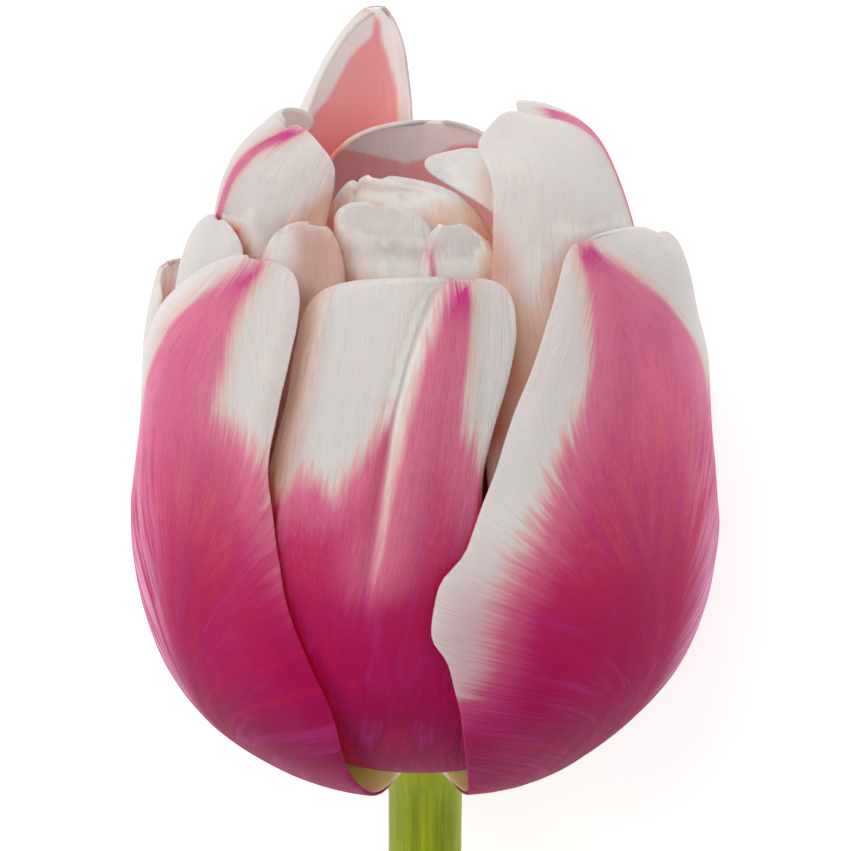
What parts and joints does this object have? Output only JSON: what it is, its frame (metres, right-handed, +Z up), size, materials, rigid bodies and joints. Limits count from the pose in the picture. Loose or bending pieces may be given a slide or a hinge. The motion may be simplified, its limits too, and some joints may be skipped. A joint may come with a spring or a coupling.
{
  "type": "cut double tulip",
  "caption": "Cut double tulip with a full pink and white bloom on a bare green stem, lying on its side.",
  "frame": {"origin": "middle of the underside of the flower's box, on the surface that it lies on", "axes": "+Y from the cut end of the stem towards the tips of the petals, +Z up, +X to the right seen from above with the tips at the top"},
  "size_m": [0.0622, 0.2272, 0.0619],
  "materials": {
    "petal": "satin petal, magenta flames on white",
    "stem": "waxy green stem",
    "pistil": "pale green ovary",
    "stamen": "dusty brown anthers"
  },
  "bodies": {
    "root": {"stem": "stem", "pistil": "pistil", "stamen_1": "stamen", "stamen_2": "stamen", "stamen_3": "stamen", "stamen_4": "stamen", "stamen_5": "stamen", "stamen_6": "stamen", "outer_petal_left": "petal", "outer_petal_right": "petal", "outer_petal_rear": "petal", "second_petal_front": "petal", "second_petal_left": "petal", "second_petal_right": "petal", "third_petal_left": "petal", "third_petal_right": "petal", "third_petal_rear": "petal", "fourth_petal_flap": "petal", "fourth_petal_mauve": "petal", "fifth_petal_hood": "petal", "fifth_petal_front": "petal", "fifth_petal_back": "petal", "heart_petal_front": "petal", "heart_petal_back": "petal"}
  },
  "joints": []
}
